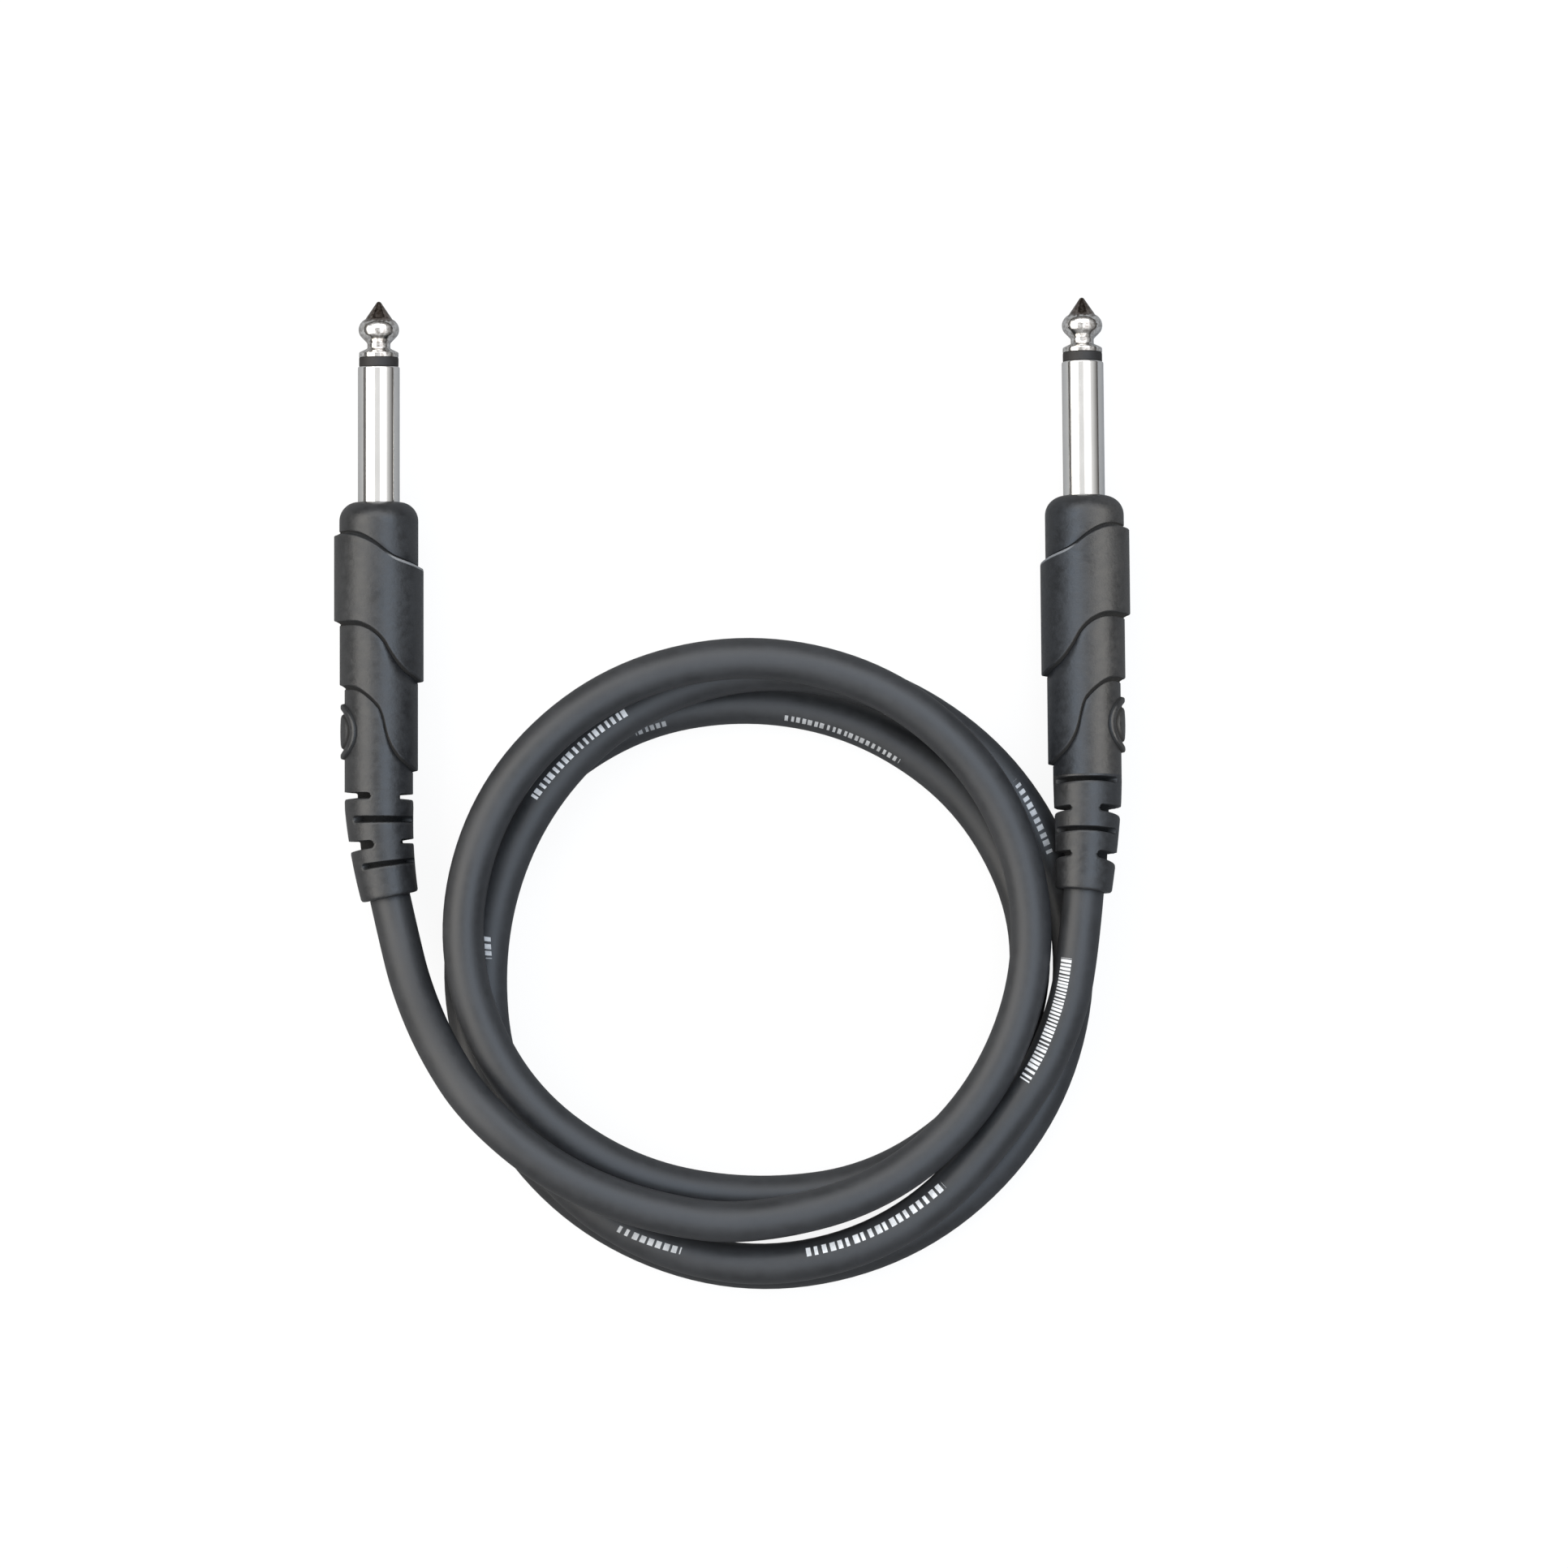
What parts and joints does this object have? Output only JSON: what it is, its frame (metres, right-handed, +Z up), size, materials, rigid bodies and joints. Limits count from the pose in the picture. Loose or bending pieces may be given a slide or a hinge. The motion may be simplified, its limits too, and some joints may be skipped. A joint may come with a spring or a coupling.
{
  "type": "instrument cable",
  "caption": "Coiled jacketed instrument lead with a straight moulded 6.35 mm phone plug at each end, each with wavy stepped grip bands and a slotted, bent strain relief.",
  "frame": {"origin": "on the table, under the middle of the box round the two plugs with their strain reliefs", "axes": "+X to the right, from the left plug to the right one; +Y along the left plug's axis, towards its tip; +Z up from the table"},
  "size_m": [0.1211, 0.1506, 0.0219],
  "materials": {
    "nickel": "bright nickel plate",
    "ring_insulator": "dark moulded insulator",
    "inner_insulator": "natural nylon",
    "tinned_brass": "tinned stamping",
    "core_insulation": "white polyethylene",
    "copper": "bare copper strands",
    "solder": "bright solder",
    "inner_mould": "stiff inner mould",
    "moulding": "satin soft moulding",
    "jacket": "satin round jacket"
  },
  "bodies": {
    "root": {"left_tip_contact": "nickel", "left_insulating_ring": "ring_insulator", "left_insulating_tube": "inner_insulator", "left_sleeve_contact": "nickel", "left_rear_washer": "inner_insulator", "left_tip_terminal": "tinned_brass", "left_ground_terminal": "tinned_brass", "left_core_insulation": "core_insulation", "left_conductor": "copper", "left_screen_pigtail": "copper", "left_tip_solder": "solder", "left_ground_solder": "solder", "left_jacket_end": "jacket", "left_inner_mould": "inner_mould", "left_strain_relief": "moulding", "left_housing": "moulding", "right_tip_contact": "nickel", "right_insulating_ring": "ring_insulator", "right_insulating_tube": "inner_insulator", "right_sleeve_contact": "nickel", "right_rear_washer": "inner_insulator", "right_tip_terminal": "tinned_brass", "right_ground_terminal": "tinned_brass", "right_core_insulation": "core_insulation", "right_conductor": "copper", "right_screen_pigtail": "copper", "right_tip_solder": "solder", "right_ground_solder": "solder", "right_jacket_end": "jacket", "right_inner_mould": "inner_mould", "right_strain_relief": "moulding", "right_housing": "moulding", "cord_left_run": "jacket", "cord_coil": "jacket", "cord_right_run": "jacket"}
  },
  "joints": []
}
